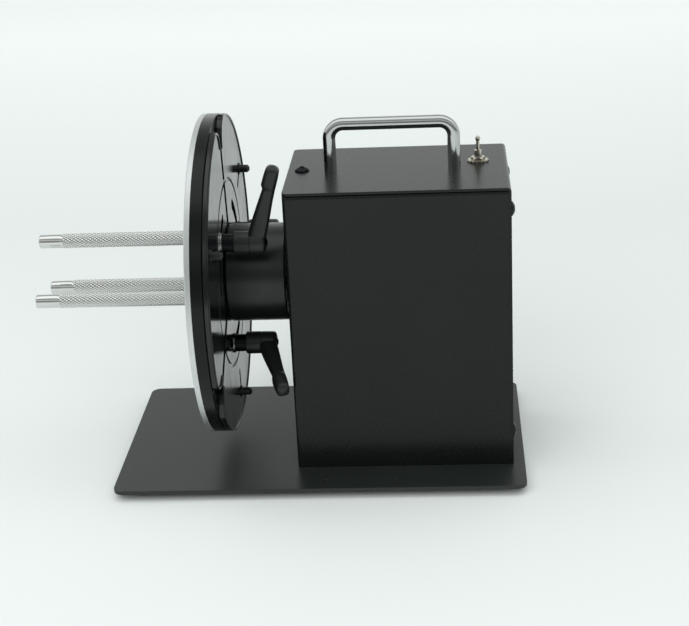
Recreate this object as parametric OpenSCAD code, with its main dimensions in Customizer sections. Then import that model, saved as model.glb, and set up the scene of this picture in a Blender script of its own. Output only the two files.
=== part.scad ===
// Label rewinder: a motor case on a base plate turns a flanged disc with three knurled
// core pins. A scroll disc and a slotted guide plate move the pins in and out together,
// and three clamping levers hold the setting.
// Millimetres, +Z up. The spindle lies along X and the pins point to -X.
// The origin is on the floor, at the middle of the whole outline.

/* [Base] */
// Length of the base plate, along the spindle
base_len = 324; // [310:1:380]
// Width of the base plate
base_w = 196; // [190:1:250]
// Thickness of the base plate
base_t = 3; // [2:0.5:6]
// Corner radius of the base plate
base_corner_r = 8; // [2:1:14]
// Base plate behind the rear end of the case
rear_margin = 9; // [4:0.5:30]
// Diameter of the bench screw holes
bench_hole_d = 5; // [4:0.5:7]
// Spacing of the bench holes along the base
bench_pitch = 55; // [40:1:80]
// Middle of the bench holes, behind the middle of the base
bench_shift = 33; // [10:1:45]
// Bench holes from the long edges of the base
bench_inset = 13; // [9:1:16]
// Diameter of a rubber foot
foot_d = 20; // [14:1:26]
// Height of a rubber foot
foot_h = 6; // [4:0.5:15]
// Feet from the front edge of the base
foot_inset_front = 21; // [15:1:50]
// Feet from the rear edge of the base
foot_inset_rear = 37; // [20:1:50]
// Feet from the long edges of the base
foot_inset_side = 20; // [15:1:30]

/* [Case] */
// Length of the case, along the spindle
case_len = 171.5; // [168:0.5:200]
// Width of the case
case_w = 122; // [112:1:140]
// Height of the case above the base
case_h = 228; // [210:1:260]
// Sheet thickness of the folded chassis
sheet_t = 1.5; // [1:0.25:2.5]
// Sheet thickness of the cover
cover_t = 2; // [1:0.25:2.5]
// Outer radius of the sheet bends
bend_r = 3; // [2.75:0.25:6]
// Width of the turned-in flanges
flange_w = 20; // [18:1:26]
// Head diameter of the cover screws
cover_screw_head_d = 11.5; // [9:0.5:12]
// End screws below the top of the case
end_screw_drop = 20; // [14:1:40]
// End screws above the base
end_screw_rise = 24; // [14:1:40]
// Cover screws from the edges of the case
cover_screw_inset = 11; // [8:0.5:13]

/* [Carrying handle] */
// Distance between the legs of the handle
handle_pitch = 96; // [80:1:110]
// Diameter of the handle bar
handle_d = 10; // [8:0.5:14]
// Height of the handle above the cover
handle_rise = 42.5; // [30:0.5:60]
// Bend radius of the handle, on the middle of its bar
handle_bend_r = 11; // [9:1:18]
// Middle of the handle, in front of the middle of the case
handle_shift_x = 4; // [0:0.5:8]
// Middle of the handle, to the near side of the case
handle_shift_y = 4; // [0:0.5:12]

/* [Direction switch] */
// Switch from the rear end of the case
switch_inset = 23; // [16:0.5:26]
// Switch from the middle of the case, to the far side
switch_shift = 13; // [0:1:30]
// Outer diameter of the switch bushing
bushing_d = 6; // [5.5:0.25:8]
// Height of the bushing above the cover
bushing_h = 8.8; // [7:0.2:11]
// Length of the switch bat above its bushing
bat_len = 11.5; // [8:0.5:16]
// Tilt of the switch bat to each side, in degrees
bat_tilt = 12; // [6:1:12]

/* [Spindle and drive] */
// Height of the spindle above the base plate
axis_h = 145; // [140:1:160]
// Diameter of the spindle
shaft_d = 12; // [11:0.5:13]
// Diameter of the spindle nose
nose_d = 10; // [9:0.5:10.5]
// Depth of the driving flat on the nose
nose_flat = 1; // [0.5:0.25:1.5]
// Diameter of the hub drum
hub_d = 78; // [74:1:84]
// Length of the hub drum
hub_len = 47; // [44:0.5:60]
// Gap between the hub drum and the case
hub_gap = 3.5; // [3.2:0.1:6]
// Outer diameter of the spindle bearings
bearing_d = 32; // [30:1:34]
// Width of a spindle bearing
bearing_w = 10; // [8:1:11]
// Diameter of the coupling
coupling_d = 28; // [24:1:34]
// Diameter of the gearhead
gearbox_d = 60; // [54:1:66]
// Length of the gearhead
gearbox_len = 32; // [26:1:33]
// Diameter of the motor
motor_d = 50; // [42:1:54]
// Length of the motor
motor_len = 56; // [46:1:57]

/* [Core holder] */
// Diameter of the disc
disc_d = 254; // [244:1:270]
// Thickness of the bright face plate
face_t = 4.25; // [3:0.25:6]
// Thickness of the black scroll disc
scroll_t = 9; // [8.5:0.5:14]
// Thickness of the guide plate
guide_t = 3.75; // [3:0.25:5]
// Direction of the first core pin, from +Y towards +Z, in degrees
pin_angle = 82; // [60:1:100]
// Distance of the core pins from the spindle at rest
pin_r = 29; // [28:0.5:30]
// Lean of the guide slots from the direction of their pins, in degrees
slot_lean = 15; // [0:1:20]
// Travel of a core pin for one degree of the guide plate
scroll_rate = 0.625; // [0.55:0.025:0.65]
// Turn of the guide plate that opens the pins, in degrees
turn_out = 34; // [20:1:34]
// Turn of the guide plate that closes the pins, in degrees
turn_in = 19; // [10:1:19]
// Diameter of the knurled core pins
pin_d = 12; // [10:0.5:13]
// Length of a core pin in front of the disc
pin_len = 136; // [80:1:180]
// Diameter of the turned tip of a core pin
tip_d = 11; // [8:0.5:12]
// Length of the turned tip of a core pin
tip_len = 18; // [8:1:30]
// Diameter of the pin's stem in the slots
stem_d = 8; // [6:0.5:8.5]
// Diameter of the shoe that runs in the scroll
shoe_d = 14; // [11:0.5:15]
// Thickness of the shoe
shoe_t = 4; // [3:0.25:5]
// Radius of the petal corners at the slot mouths
mouth_r = 20; // [6:1:24]
// Radius of the ring groove in the guide plate
groove_r = 75; // [72:0.5:78]
// Width of the ring groove
groove_w = 3; // [2:0.25:4]
// Distance of the finger posts from the spindle
post_r = 108; // [104:1:112]
// Diameter of a finger post
post_d = 6.5; // [5.5:0.25:9]
// Height of a finger post
post_h = 9; // [6:0.5:12]

/* [Clamping levers] */
// Distance of the levers from the spindle
clamp_r = 57.5; // [56:0.5:60]
// Lever studs ahead of their core pins, in degrees
clamp_ahead = 55; // [50:1:60]
// Diameter of the clamp stud
stud_d = 8; // [6:0.5:9]
// Diameter of the clamp washer
washer_d = 16; // [15:0.5:18]
// Diameter of the steel neck under a lever
neck_d = 14; // [13.5:0.5:15]
// Length of the steel neck under a lever
neck_h = 9; // [6:0.5:10]
// Diameter of the lever boss
boss_d = 18; // [17:0.5:20]
// Height of the lever boss
boss_h = 24.5; // [24:0.5:28]
// Reach of the lever from its stud
arm_len = 61; // [50:1:62]
// Lean of the lever arm away from the disc, in degrees
arm_lean = 16; // [6:0.5:18]
// Lift that frees the lever from its teeth
lever_lift = 2; // [1:0.5:2.5]

/* [Hidden] */
$fn = 64;
// clearances
fit_gap = 0.05;    // round pieces in their bores, on the radius
hole_gap = 0.15;   // screws in their holes, on the radius
run_gap = 0.3;     // faces that turn past each other
slide_gap = 0.25;  // stems and shoes in their slots, to each side
seat_gap = 0.1;    // washers and seats on a moving face
cut = 1;           // how far a cut runs past a face
skin = 0.01;       // how far a bevel's cut runs past its face

// places along the spindle, from the pin tips to the rear edge of the base
holder_len = face_t + scroll_t + run_gap + guide_t + run_gap;
total_len = pin_len + seat_gap + holder_len + hub_len + hub_gap + case_len + rear_margin;
base_x1 = total_len / 2;
base_x0 = base_x1 - base_len;
base_cx = base_x1 - base_len / 2;
case_x1 = base_x1 - rear_margin;
case_x0 = case_x1 - case_len;
case_cx = case_x0 + case_len / 2;
hub_x1 = case_x0 - hub_gap;
hub_x0 = hub_x1 - hub_len;
guide_x1 = hub_x0 - run_gap;
guide_x0 = guide_x1 - guide_t;
scroll_x1 = guide_x0 - run_gap;
scroll_x0 = scroll_x1 - scroll_t;
face_x0 = scroll_x0 - face_t;
pin_x1 = face_x0 - seat_gap;

// heights
deck_z = foot_h + base_t;
top_z = deck_z + case_h;
axis_z = deck_z + axis_h;

// drive train inside the case, from the front wall to the rear
wall_x = case_x0 + sheet_t;
bearing_apart = 10;
housing_len = 2 * bearing_w + bearing_apart;
flange_edge = 17;
housing_flange = bearing_d + 2 * flange_edge;
housing_flange_t = 6;
housing_wall = 6;
housing_lip = 1;
housing_corner_r = 6;
bearing_shoulder = 2.5;
ring_wall = 3;
shield_t = 1;
housing_screw_gap = 11;
housing_pcd = bearing_d + 2 * housing_screw_gap;
housing_screw_d = 5;
coupling_gap = 2;
jaw_len = 12;
spider_t = 6;
coupling_x0 = wall_x + housing_len + coupling_gap;
spider_x0 = coupling_x0 + jaw_len;
coupling_x1 = spider_x0 + spider_t + jaw_len;
bracket_t = 3;
bracket_x0 = coupling_x1 + coupling_gap;
gearbox_x0 = bracket_x0 + bracket_t;
motor_x0 = gearbox_x0 + gearbox_len;
motor_x1 = motor_x0 + motor_len;
drive_step = 1;
drive_shaft_d = shaft_d - 2 * drive_step;
pilot_d = 24;
pilot_h = 4;
bracket_side_gap = 1.5;
bracket_w = case_w - 2 * (sheet_t + flange_w + bracket_side_gap);
bracket_screw_inset = 9;
bracket_foot = 40;
bracket_screw_d = 4;
gear_inset = 6;
gear_pcd = gearbox_d - 2 * gear_inset;
gear_thread = 6;
gear_line = 1;
motor_cap = 8;
motor_cap_step = 1.5;
motor_cap_d = motor_d - 2 * motor_cap_step;
drive_seat = 13;

// scroll, slots and stations of the core holder
disc_r = disc_d / 2;
stations = [0, 120, 240];
petal_half = 60;
slot_half = stem_d / 2 + slide_gap;
pocket_half = shoe_d / 2 + slide_gap;
pocket_t = shoe_t + 2 * seat_gap;
pin_r_min = norm(pin_place(turn_in));
clamp_angle = pin_angle + clamp_ahead;
clamp_half = stud_d / 2 + run_gap;
clamp_margin = 3;
washer_t = 1.2;
boss_z = seat_gap + washer_t + neck_h;
stud_floor = 1;
thread_len = scroll_t - stud_floor;
lever_rest = [-47, -59, -47];
rim_break = 0.6;
post_slot_half = 2.6;
post_slot_len = 18;
face_screw_inset = 14;
face_screw_r = disc_r - face_screw_inset;
face_screw_d = 4;
face_screw_count = 6;
face_screw_turn = 10;
face_screw_floor = 3;
face_thread = scroll_t - face_screw_floor;

// board and inlet
board_side_gap = 3;
board_size = [42, case_w - 2 * (sheet_t + flange_w + board_side_gap), 1.6];
board_screw_d = 3;
board_clear = 8;
board_x0 = bracket_x0 + bracket_foot + board_clear;
standoff_h = 10;
board_z = deck_z + standoff_h;
board_inset = 4;
inlet_h = 44;
inlet_z = deck_z + inlet_h;
inlet_d = 11;
foot_taper = 2;

// screws
head_ratio = 1.9;
head_rise = 0.55;
thread_past = 4;
small_screw_d = 4;
cover_screw_d = 6;
cover_screw_head_h = 3.2;
handle_screw_d = 5;
rear_x = case_x1 - cover_t;
flange_screw_y = case_w / 2 - sheet_t - flange_w / 2;
flange_screw_inset = 30;
flange_screw_x = [case_x0 + flange_screw_inset, case_cx, rear_x - flange_screw_inset];
end_screw_y = case_w / 2 - sheet_t - cover_screw_inset;
handle_cx = case_cx - handle_shift_x;
switch_x = case_x1 - switch_inset;

coat = "#2b2e2d";
black_gloss = "#161817";
black_plastic = "#1c1e1e";
anodised = "#1b1d1e";
bright = "#c9cbca";
steel = "#a9acad";
dark_steel = "#3b3d3e";
rubber = "#151515";

// Children drawn facing +X on the spindle axis: their x is the part's Y, their y its Z
module facing_x(x) translate([x, 0, axis_z]) rotate([90, 0, 90]) children();

// Children drawn facing +X at a radius and a direction around the spindle axis
module at_station(x, r, a) facing_x(x) rotate(a) translate([r, 0, 0]) children();

function unit(v) = v / norm(v);

// Rectangle with round corners, centred
module round_rect(size, r) {
    square([size.x - 2 * r, size.y], center = true);
    square([size.x, size.y - 2 * r], center = true);
    for (sx = [-1, 1], sy = [-1, 1])
        translate([sx * (size.x / 2 - r), sy * (size.y / 2 - r)]) circle(r);
}

// Rectangle from the origin along +x, centred on y, with both corners at x = 0 rounded
module round_front(l, w, r) {
    translate([r, -w / 2]) square([l - r, w]);
    translate([0, r - w / 2]) square([l, w - 2 * r]);
    for (s = [-1, 1]) translate([r, s * (w / 2 - r)]) circle(r);
}

// Screw pointing down -z from its seat at z = 0, with a domed head and a hexagon socket
module headed_screw(d, head_d, head_h, len) {
    rim = head_h / 4;
    rise = head_h - rim;
    dome_r = (head_d * head_d / 4 + rise * rise) / (2 * rise);
    difference() {
        union() {
            translate([0, 0, -len]) cylinder(d = d, h = len + rim / 2);
            cylinder(d = head_d, h = rim);
            translate([0, 0, rim]) intersection() {
                cylinder(d = head_d, h = head_h);
                translate([0, 0, rise - dome_r]) sphere(dome_r);
            }
        }
        translate([0, 0, head_h / 2]) cylinder(d = d * 0.7, h = head_h, $fn = 6);
    }
}
module dome_screw(d, len) headed_screw(d, head_ratio * d, head_rise * d, len);

// Ring from z = 0 to h
module ring(d, bore, h) difference() {
    cylinder(d = d, h = h);
    translate([0, 0, -cut]) cylinder(d = bore, h = h + 2 * cut);
}

// Base plate and feet

function foot_places() = [for (x = [base_x0 + foot_inset_front, base_x1 - foot_inset_rear],
    s = [-1, 1]) [x, s * (base_w / 2 - foot_inset_side)]];
function bench_places() = [for (i = [-0.5, 0.5], s = [-1, 1])
    [base_cx + bench_shift + i * bench_pitch, s * (base_w / 2 - bench_inset)]];
function flange_places() = [for (x = flange_screw_x, s = [-1, 1]) [x, s * flange_screw_y]];
function bracket_places() = [for (x = [0.35, 0.8], s = [-1, 1])
    [bracket_x0 + x * bracket_foot, s * (bracket_w / 2 - bracket_screw_inset)]];
function board_places() = [for (x = [board_inset, board_size.x - board_inset], s = [-1, 1])
    [board_x0 + x, s * (board_size.y / 2 - board_inset)]];

module drilled(places, d, z0, h) for (p = places)
    translate([p.x, p.y, z0 - cut]) cylinder(d = d, h = h + 2 * cut);

module base_plate() color(coat) difference() {
    translate([base_cx, 0, foot_h]) linear_extrude(base_t)
        round_rect([base_len, base_w], base_corner_r);
    drilled(bench_places(), bench_hole_d, foot_h, base_t);
    drilled(flange_places(), small_screw_d + 2 * hole_gap, foot_h, base_t);
    drilled(bracket_places(), bracket_screw_d + 2 * hole_gap, foot_h, base_t);
    drilled(board_places(), board_screw_d + 2 * hole_gap, foot_h, base_t);
}

// Moulded feet stuck under the base, narrower at the floor
module rubber_feet() color(rubber) for (p = foot_places())
    translate([p.x, p.y, 0]) cylinder(d1 = foot_d - foot_taper, d2 = foot_d, h = foot_h);

// Folded case

chassis_len = case_len - cover_t;
chassis_h = case_h - cover_t;

// Outer or inner skin of the folded sheet, set in from the outside
module case_skin(inset) {
    r = bend_r - inset;
    w = case_w - 2 * inset;
    h = chassis_h - 2 * inset;
    intersection() {
        translate([case_x0 + inset, 0, deck_z]) linear_extrude(chassis_h)
            round_front(chassis_len - 2 * inset, w, r);
        translate([case_x0, 0, deck_z + chassis_h - inset]) rotate([90, 90, 90])
            linear_extrude(chassis_len) round_front(h, w, r);
    }
}

// Near side, front end and far side folded from one sheet, with turned-in flanges
module chassis() color(coat) difference() {
    case_skin(0);
    case_skin(sheet_t);
    // windows inside the flanges: top, bottom and rear
    window_w = case_w - 2 * (sheet_t + flange_w);
    window_x0 = case_x0 + sheet_t + flange_w;
    for (z = [deck_z + sheet_t / 2, deck_z + chassis_h - sheet_t / 2])
        translate([window_x0, -window_w / 2, z - sheet_t / 2 - cut])
            cube([rear_x - window_x0 + cut, window_w, sheet_t + 2 * cut]);
    translate([rear_x - sheet_t - cut, -window_w / 2, deck_z - cut])
        cube([sheet_t + 2 * cut, window_w, chassis_h + 2 * cut]);
    // bearing nose, its screws, and the cover and base screws
    facing_x(case_x0 - cut) {
        cylinder(d = bearing_d + 2 * housing_wall + 2 * hole_gap, h = sheet_t + 2 * cut);
        for (a = [45:90:315]) rotate(a) translate([housing_pcd / 2, 0, 0])
            cylinder(d = housing_screw_d + 2 * hole_gap, h = sheet_t + 2 * cut);
    }
    at_end_screws() cylinder(d = cover_screw_d + 2 * hole_gap, h = 4 * cover_t, center = true);
    at_top_screw() cylinder(d = cover_screw_d + 2 * hole_gap, h = 4 * cover_t, center = true);
    drilled(flange_places(), small_screw_d + 2 * hole_gap, deck_z, sheet_t);
    // rear upper edge taken off inside the bend of the cover
    edge = bend_r - cover_t;
    translate([rear_x, 0, deck_z + chassis_h]) rotate([90, 0, 0])
        linear_extrude(case_w + 2 * cut, center = true)
            polygon([[-edge, cut], [-edge, 0], [0, -edge], [cut, -edge], [cut, cut]]);
}

// Places of the cover screws, pointing out of the case
module at_end_screws() for (s = [-1, 1], z = [deck_z + end_screw_rise, top_z - end_screw_drop])
    translate([rear_x, s * end_screw_y, z]) rotate([0, 90, 0]) children();
module at_top_screw() translate([case_x0 + cover_screw_inset, 0, top_z - cover_t]) children();

// Top and rear end bent from one sheet, lying on the chassis
module cover() color(coat) {
    corner_r = 4;
    difference() {
        intersection() {
            translate([case_x0, case_w / 2, deck_z]) rotate([90, 0, 0]) linear_extrude(case_w)
                difference() {
                    cover_side(0);
                    cover_side(cover_t);
                }
            translate([case_x0, 0, deck_z]) linear_extrude(case_h + cut)
                round_front(case_len, case_w, corner_r);
        }
        translate([0, 0, cover_t / 2]) {
            at_top_screw() cylinder(d = cover_screw_d + 2 * hole_gap, h = 4 * cover_t, center = true);
            at_switch() cylinder(d = bushing_d + 2 * hole_gap, h = 4 * cover_t, center = true);
            at_handle_legs() cylinder(d = handle_screw_d + 2 * hole_gap, h = 4 * cover_t, center = true);
        }
        at_end_screws() cylinder(d = cover_screw_d + 2 * hole_gap, h = 4 * cover_t, center = true);
        at_inlet() cylinder(d = inlet_d + 2 * hole_gap, h = 4 * cover_t, center = true);
    }
}

// Side view of the cover, with the bend at the upper rear corner
module cover_side(inset) {
    r = bend_r - inset;
    l = case_len - inset;
    h = case_h - inset;
    past = inset > 0 ? cut : 0;
    foot = inset > 0 ? -cut : run_gap;
    translate([-past, foot]) square([l + past - r, h - foot]);
    translate([-past, foot]) square([l + past, h - foot - r]);
    translate([l - r, h - r]) circle(r);
}

module cover_screws() color(black_plastic) {
    len = cover_t + sheet_t + thread_past;
    translate([0, 0, cover_t]) at_top_screw()
        headed_screw(cover_screw_d, cover_screw_head_d, cover_screw_head_h, len);
    at_end_screws() translate([0, 0, cover_t])
        headed_screw(cover_screw_d, cover_screw_head_d, cover_screw_head_h, len);
}

module chassis_screws() color(dark_steel) for (p = flange_places())
    translate([p.x, p.y, foot_h]) rotate([180, 0, 0])
        dome_screw(small_screw_d, base_t + sheet_t + thread_past);

// Carrying handle: one bent bar, held by a screw up into each leg

module at_handle_legs() for (s = [-1, 1])
    translate([handle_cx + s * handle_pitch / 2, -handle_shift_y, top_z - cover_t]) children();

handle_screw_len = 12;

module carry_handle() color(bright) difference() {
    leg_h = handle_rise - handle_d / 2 - handle_bend_r;
    span = handle_pitch - 2 * handle_bend_r;
    translate([handle_cx, -handle_shift_y, top_z]) {
        for (s = [-1, 1]) {
            translate([s * handle_pitch / 2, 0, 0]) cylinder(d = handle_d, h = leg_h);
            translate([s * span / 2, 0, leg_h]) rotate([90, 0, 0])
                rotate(s > 0 ? 0 : 90) rotate_extrude(angle = 90)
                    translate([handle_bend_r, 0]) circle(d = handle_d);
        }
        translate([-span / 2, 0, leg_h + handle_bend_r]) rotate([0, 90, 0])
            cylinder(d = handle_d, h = span);
    }
    at_handle_legs() cylinder(d = handle_screw_d + 2 * hole_gap, h = cover_t + handle_screw_len + cut);
}

module handle_screws() color(steel) at_handle_legs() rotate([180, 0, 0])
    dome_screw(handle_screw_d, cover_t + handle_screw_len);

// Three-position toggle switch: body under the cover, bushing through it

module at_switch() translate([switch_x, switch_shift, top_z - cover_t]) children();

bat_d = 2.8;
bat_tip = 4;
bat_tail = 4;
pivot_drop = 3;
switch_body_size = [13, 8, 11];
under_washer_t = 0.8;
dress_washer_t = 1.2;
dress_washer_d = 17;
nut_flats = 10;
nut_t = 2.4;
bushing_wall = 0.9;
bushing_bore = bushing_d - 2 * bushing_wall;
bushing_lip = 0.3;
bushing_bevel = 1;
barrel_gap = 0.4;
barrel_d = bushing_bore - 2 * barrel_gap;
barrel_end_gap = 1;
barrel_len = bushing_bore - 2 * barrel_end_gap;
tail_gap = 2;
washer_tooth = [2, 1.8];
washer_tooth_h = 1.2;
switch_corner_r = 0.8;
lug = [0.8, 2, 4];
lug_pitch = 4.5;
bushing_top = cover_t + bushing_h;
pivot_z = bushing_top - pivot_drop;

module switch_body() color(dark_steel) at_switch() difference() {
    union() {
        translate([0, 0, -switch_body_size.z]) linear_extrude(switch_body_size.z)
            round_rect([switch_body_size.x, switch_body_size.y], switch_corner_r);
        cylinder(d = bushing_d, h = bushing_top);
        for (i = [-1:1]) translate([i * lug_pitch - lug.x / 2, -lug.y / 2, -switch_body_size.z - lug.z])
            cube(lug + [0, 0, cut]);
    }
    // well that holds the barrel of the bat and lets its tail swing
    translate([0, 0, pivot_z - bat_tail - tail_gap]) cylinder(d = bushing_bore, h = bushing_h);
    translate([0, 0, bushing_top - bushing_bevel])
        cylinder(d1 = bushing_bore, d2 = bushing_d - 2 * bushing_lip, h = bushing_bevel + skin);
}

// Locking washer with teeth around its rim
module switch_washer() color(steel) at_switch() translate([0, 0, cover_t]) difference() {
    union() {
        cylinder(d = dress_washer_d - 2 * washer_tooth_h, h = dress_washer_t);
        for (a = [0:24:336]) rotate(a)
            translate([dress_washer_d / 2 - washer_tooth.x, -washer_tooth.y / 2, 0])
                cube([washer_tooth.x, washer_tooth.y, dress_washer_t]);
    }
    translate([0, 0, -cut]) cylinder(d = bushing_d + 2 * hole_gap, h = dress_washer_t + 2 * cut);
}

module switch_nut() color(steel) at_switch() translate([0, 0, cover_t + dress_washer_t])
    difference() {
        intersection() {
            cylinder(d = nut_flats / cos(30), h = nut_t, $fn = 6);
            cylinder(d1 = nut_flats / cos(30) + nut_t, d2 = nut_flats, h = nut_t);
        }
        translate([0, 0, -cut]) cylinder(d = bushing_d + 2 * hole_gap, h = nut_t + 2 * cut);
    }

// Bat on a barrel across the bushing, with a thicker rounded tip
module switch_bat() color(bright) at_switch() translate([0, 0, pivot_z]) {
    reach = pivot_drop + bat_len;
    tip_r = bat_tip / 2;
    rotate([90, 0, 0]) cylinder(d = barrel_d, h = barrel_len, center = true);
    translate([0, 0, -bat_tail]) cylinder(d = bat_d / 2, h = bat_tail);
    cylinder(d1 = bat_d * 0.8, d2 = bat_d, h = reach - 2 * tip_r);
    translate([0, 0, reach - 2 * tip_r]) cylinder(d1 = bat_d, d2 = bat_tip, h = tip_r);
    translate([0, 0, reach - tip_r]) sphere(tip_r);
}

// Spindle bearings in a flanged housing behind the front wall

front_bearing_x = wall_x + housing_lip;
rear_bearing_x = wall_x + housing_len - housing_lip - bearing_w;
inner_ring_d = shaft_d + 2 * ring_wall;

module bearing_housing() color(anodised) facing_x(wall_x) difference() {
    union() {
        linear_extrude(housing_flange_t) round_rect([housing_flange, housing_flange], housing_corner_r);
        cylinder(d = bearing_d + 2 * housing_wall, h = housing_len);
        translate([0, 0, -sheet_t]) cylinder(d = bearing_d + 2 * housing_wall, h = sheet_t + cut);
    }
    // seats for the two bearings, with a shoulder between them
    translate([0, 0, -sheet_t - cut]) cylinder(d = bearing_d + 2 * fit_gap,
        h = sheet_t + cut + housing_lip + bearing_w);
    translate([0, 0, housing_len - housing_lip - bearing_w])
        cylinder(d = bearing_d + 2 * fit_gap, h = housing_lip + bearing_w + cut);
    cylinder(d = bearing_d - 2 * bearing_shoulder, h = housing_len);
    for (a = [45:90:315]) rotate(a) translate([housing_pcd / 2, 0, -cut])
        cylinder(d = housing_screw_d + 2 * hole_gap, h = housing_flange_t + 2 * cut);
}

module housing_screws() color(dark_steel) facing_x(case_x0) for (a = [45:90:315])
    rotate(a) translate([housing_pcd / 2, 0, 0]) rotate([180, 0, 0])
        dome_screw(housing_screw_d, sheet_t + housing_flange_t - hole_gap);

// Outer rings with their shields, which stop just short of the inner rings
module bearing_outer_rings() color(steel) for (x = [front_bearing_x, rear_bearing_x])
    facing_x(x) difference() {
        ring(bearing_d, inner_ring_d + 2 * run_gap, bearing_w);
        translate([0, 0, shield_t]) cylinder(d = bearing_d - 2 * ring_wall, h = bearing_w - 2 * shield_t);
    }

module bearing_inner_rings() color(bright) for (x = [front_bearing_x, rear_bearing_x])
    facing_x(x) ring(inner_ring_d, shaft_d + 2 * fit_gap, bearing_w);

// Gear motor on its bracket

module motor_bracket() color(coat) {
    h = axis_h + gearbox_d / 2 + 2 * bracket_t;
    rib_h = h * 0.55;
    difference() {
        union() {
            translate([bracket_x0, -bracket_w / 2, deck_z]) cube([bracket_t, bracket_w, h]);
            translate([bracket_x0, -bracket_w / 2, deck_z]) cube([bracket_foot, bracket_w, bracket_t]);
            for (y = [bracket_t - bracket_w / 2, bracket_w / 2]) translate([bracket_x0, y, deck_z])
                rotate([90, 0, 0]) linear_extrude(bracket_t) polygon([[0, 0], [bracket_foot, 0],
                    [bracket_foot, bracket_t], [bracket_t, rib_h], [0, rib_h]]);
        }
        facing_x(bracket_x0 - cut) {
            cylinder(d = pilot_d + 2 * hole_gap, h = bracket_t + 2 * cut);
            for (a = [45:90:315]) rotate(a) translate([gear_pcd / 2, 0, 0])
                cylinder(d = bracket_screw_d + 2 * hole_gap, h = bracket_t + 2 * cut);
        }
        drilled(bracket_places(), bracket_screw_d + 2 * hole_gap, deck_z, bracket_t);
    }
}

// Four screws up through the base into the foot, four into the gearhead
module bracket_screws() color(steel) {
    for (p = bracket_places()) translate([p.x, p.y, foot_h]) rotate([180, 0, 0])
        dome_screw(bracket_screw_d, base_t + bracket_t + thread_past);
    facing_x(bracket_x0) for (a = [45:90:315]) rotate(a) translate([gear_pcd / 2, 0, 0])
        rotate([180, 0, 0]) dome_screw(bracket_screw_d, bracket_t + gear_thread);
}

module gearbox() color(steel) facing_x(gearbox_x0) difference() {
    union() {
        cylinder(d = gearbox_d, h = gearbox_len);
        translate([0, 0, -pilot_h]) cylinder(d = pilot_d, h = pilot_h + cut);
    }
    translate([0, 0, -pilot_h - cut])
        cylinder(d = drive_shaft_d + 2 * fit_gap, h = pilot_h + drive_seat + 2 * cut);
    for (a = [45:90:315]) rotate(a) translate([gear_pcd / 2, 0, -cut])
        cylinder(d = bracket_screw_d + 2 * hole_gap, h = gear_thread + 3 * cut);
    // joint lines between the gear stages
    for (z = [gearbox_len / 3, gearbox_len * 2 / 3]) translate([0, 0, z])
        ring(gearbox_d + 2 * cut, gearbox_d - gear_line, gear_line);
}

module gearbox_shaft() color(bright) facing_x(spider_x0 + spider_t)
    cylinder(d = drive_shaft_d, h = gearbox_x0 + drive_seat - spider_x0 - spider_t);

// Motor can with a folded-in rear cap, brush covers and a terminal block
module motor() color(dark_steel) facing_x(motor_x0) {
    boss = motor_cap / 4;
    cylinder(d = motor_d, h = motor_len - motor_cap);
    translate([0, 0, motor_len - motor_cap]) cylinder(d = motor_cap_d, h = motor_cap - boss);
    translate([0, 0, motor_len - boss]) cylinder(d = motor_d / 3, h = boss);
    for (s = [-1, 1]) translate([s * motor_d / 2, 0, motor_len - 2 * motor_cap]) rotate([0, s * 90, 0])
        cylinder(d = motor_cap, h = motor_cap / 2, center = true);
}

// Spindle, coupling and hub

module nose_outline(gap) difference() {
    circle(d = nose_d + 2 * gap);
    translate([nose_d / 2 - nose_flat + gap, -nose_d]) square([nose_d, 2 * nose_d]);
}

nose_short = 0.5;
nose_len = scroll_t + face_t - nose_short;

module spindle_shaft() color(bright) difference() {
    union() {
        facing_x(scroll_x1) cylinder(d = shaft_d, h = spider_x0 - scroll_x1);
        facing_x(scroll_x1 - nose_len) linear_extrude(nose_len + cut) nose_outline(0);
    }
    facing_x(scroll_x1 - nose_len - cut)
        cylinder(d = nose_screw_d + 2 * hole_gap, h = nose_screw_len + 3 * cut);
}

// Two jaw hubs with three jaws each, interlocked through the spider
jaw_w = 26;
jaw_ease = 0.5;
spider_ease = 1;

module jaw_hub(bore) {
    ring(coupling_d, bore + 2 * fit_gap, jaw_len);
    translate([0, 0, jaw_len - cut]) for (a = [0, 120, 240]) rotate(a - jaw_w / 2)
        rotate_extrude(angle = jaw_w) translate([coupling_d / 4 + jaw_ease, 0])
            square([coupling_d / 4 - 2 * jaw_ease, spider_t + cut - jaw_ease]);
}

module coupling_jaws() color(bright) {
    facing_x(coupling_x0) jaw_hub(shaft_d);
    facing_x(coupling_x1) rotate([180, 0, 60]) jaw_hub(drive_shaft_d);
}

module coupling_spider() color("#7a2320") facing_x(spider_x0 + fit_gap) {
    cylinder(d = coupling_d / 2, h = spider_t - 2 * fit_gap);
    for (i = [0:5]) rotate(i * 60 + 30 - jaw_w / 2 + spider_ease)
        rotate_extrude(angle = jaw_w - 2 * spider_ease) translate([coupling_d / 4 - 2 * jaw_ease, 0])
            square([coupling_d / 4 - jaw_ease, spider_t - 2 * fit_gap]);
}

hub_web = 19;
hub_wall = 7;
hub_screw_d = 5;
hub_screw_len = 9;
hub_socket = 3;
hub_edge = 1;
hub_screw_angles = [300, 30];

// Drum with a solid web on the spindle and a hollow back over the bearing nose
module hub() color(anodised) facing_x(hub_x0) difference() {
    rotate_extrude() polygon([
        [shaft_d / 2 + fit_gap, 0],
        [hub_d / 2 - hub_edge, 0],
        [hub_d / 2, hub_edge],
        [hub_d / 2, hub_len - hub_edge],
        [hub_d / 2 - hub_edge, hub_len],
        [hub_d / 2 - hub_wall, hub_len],
        [hub_d / 2 - hub_wall, hub_web],
        [shaft_d / 2 + fit_gap, hub_web]]);
    for (a = hub_screw_angles) rotate(a) translate([0, 0, hub_web / 2]) rotate([0, 90, 0])
        cylinder(d = hub_screw_d + 2 * hole_gap, h = hub_d);
}

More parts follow.
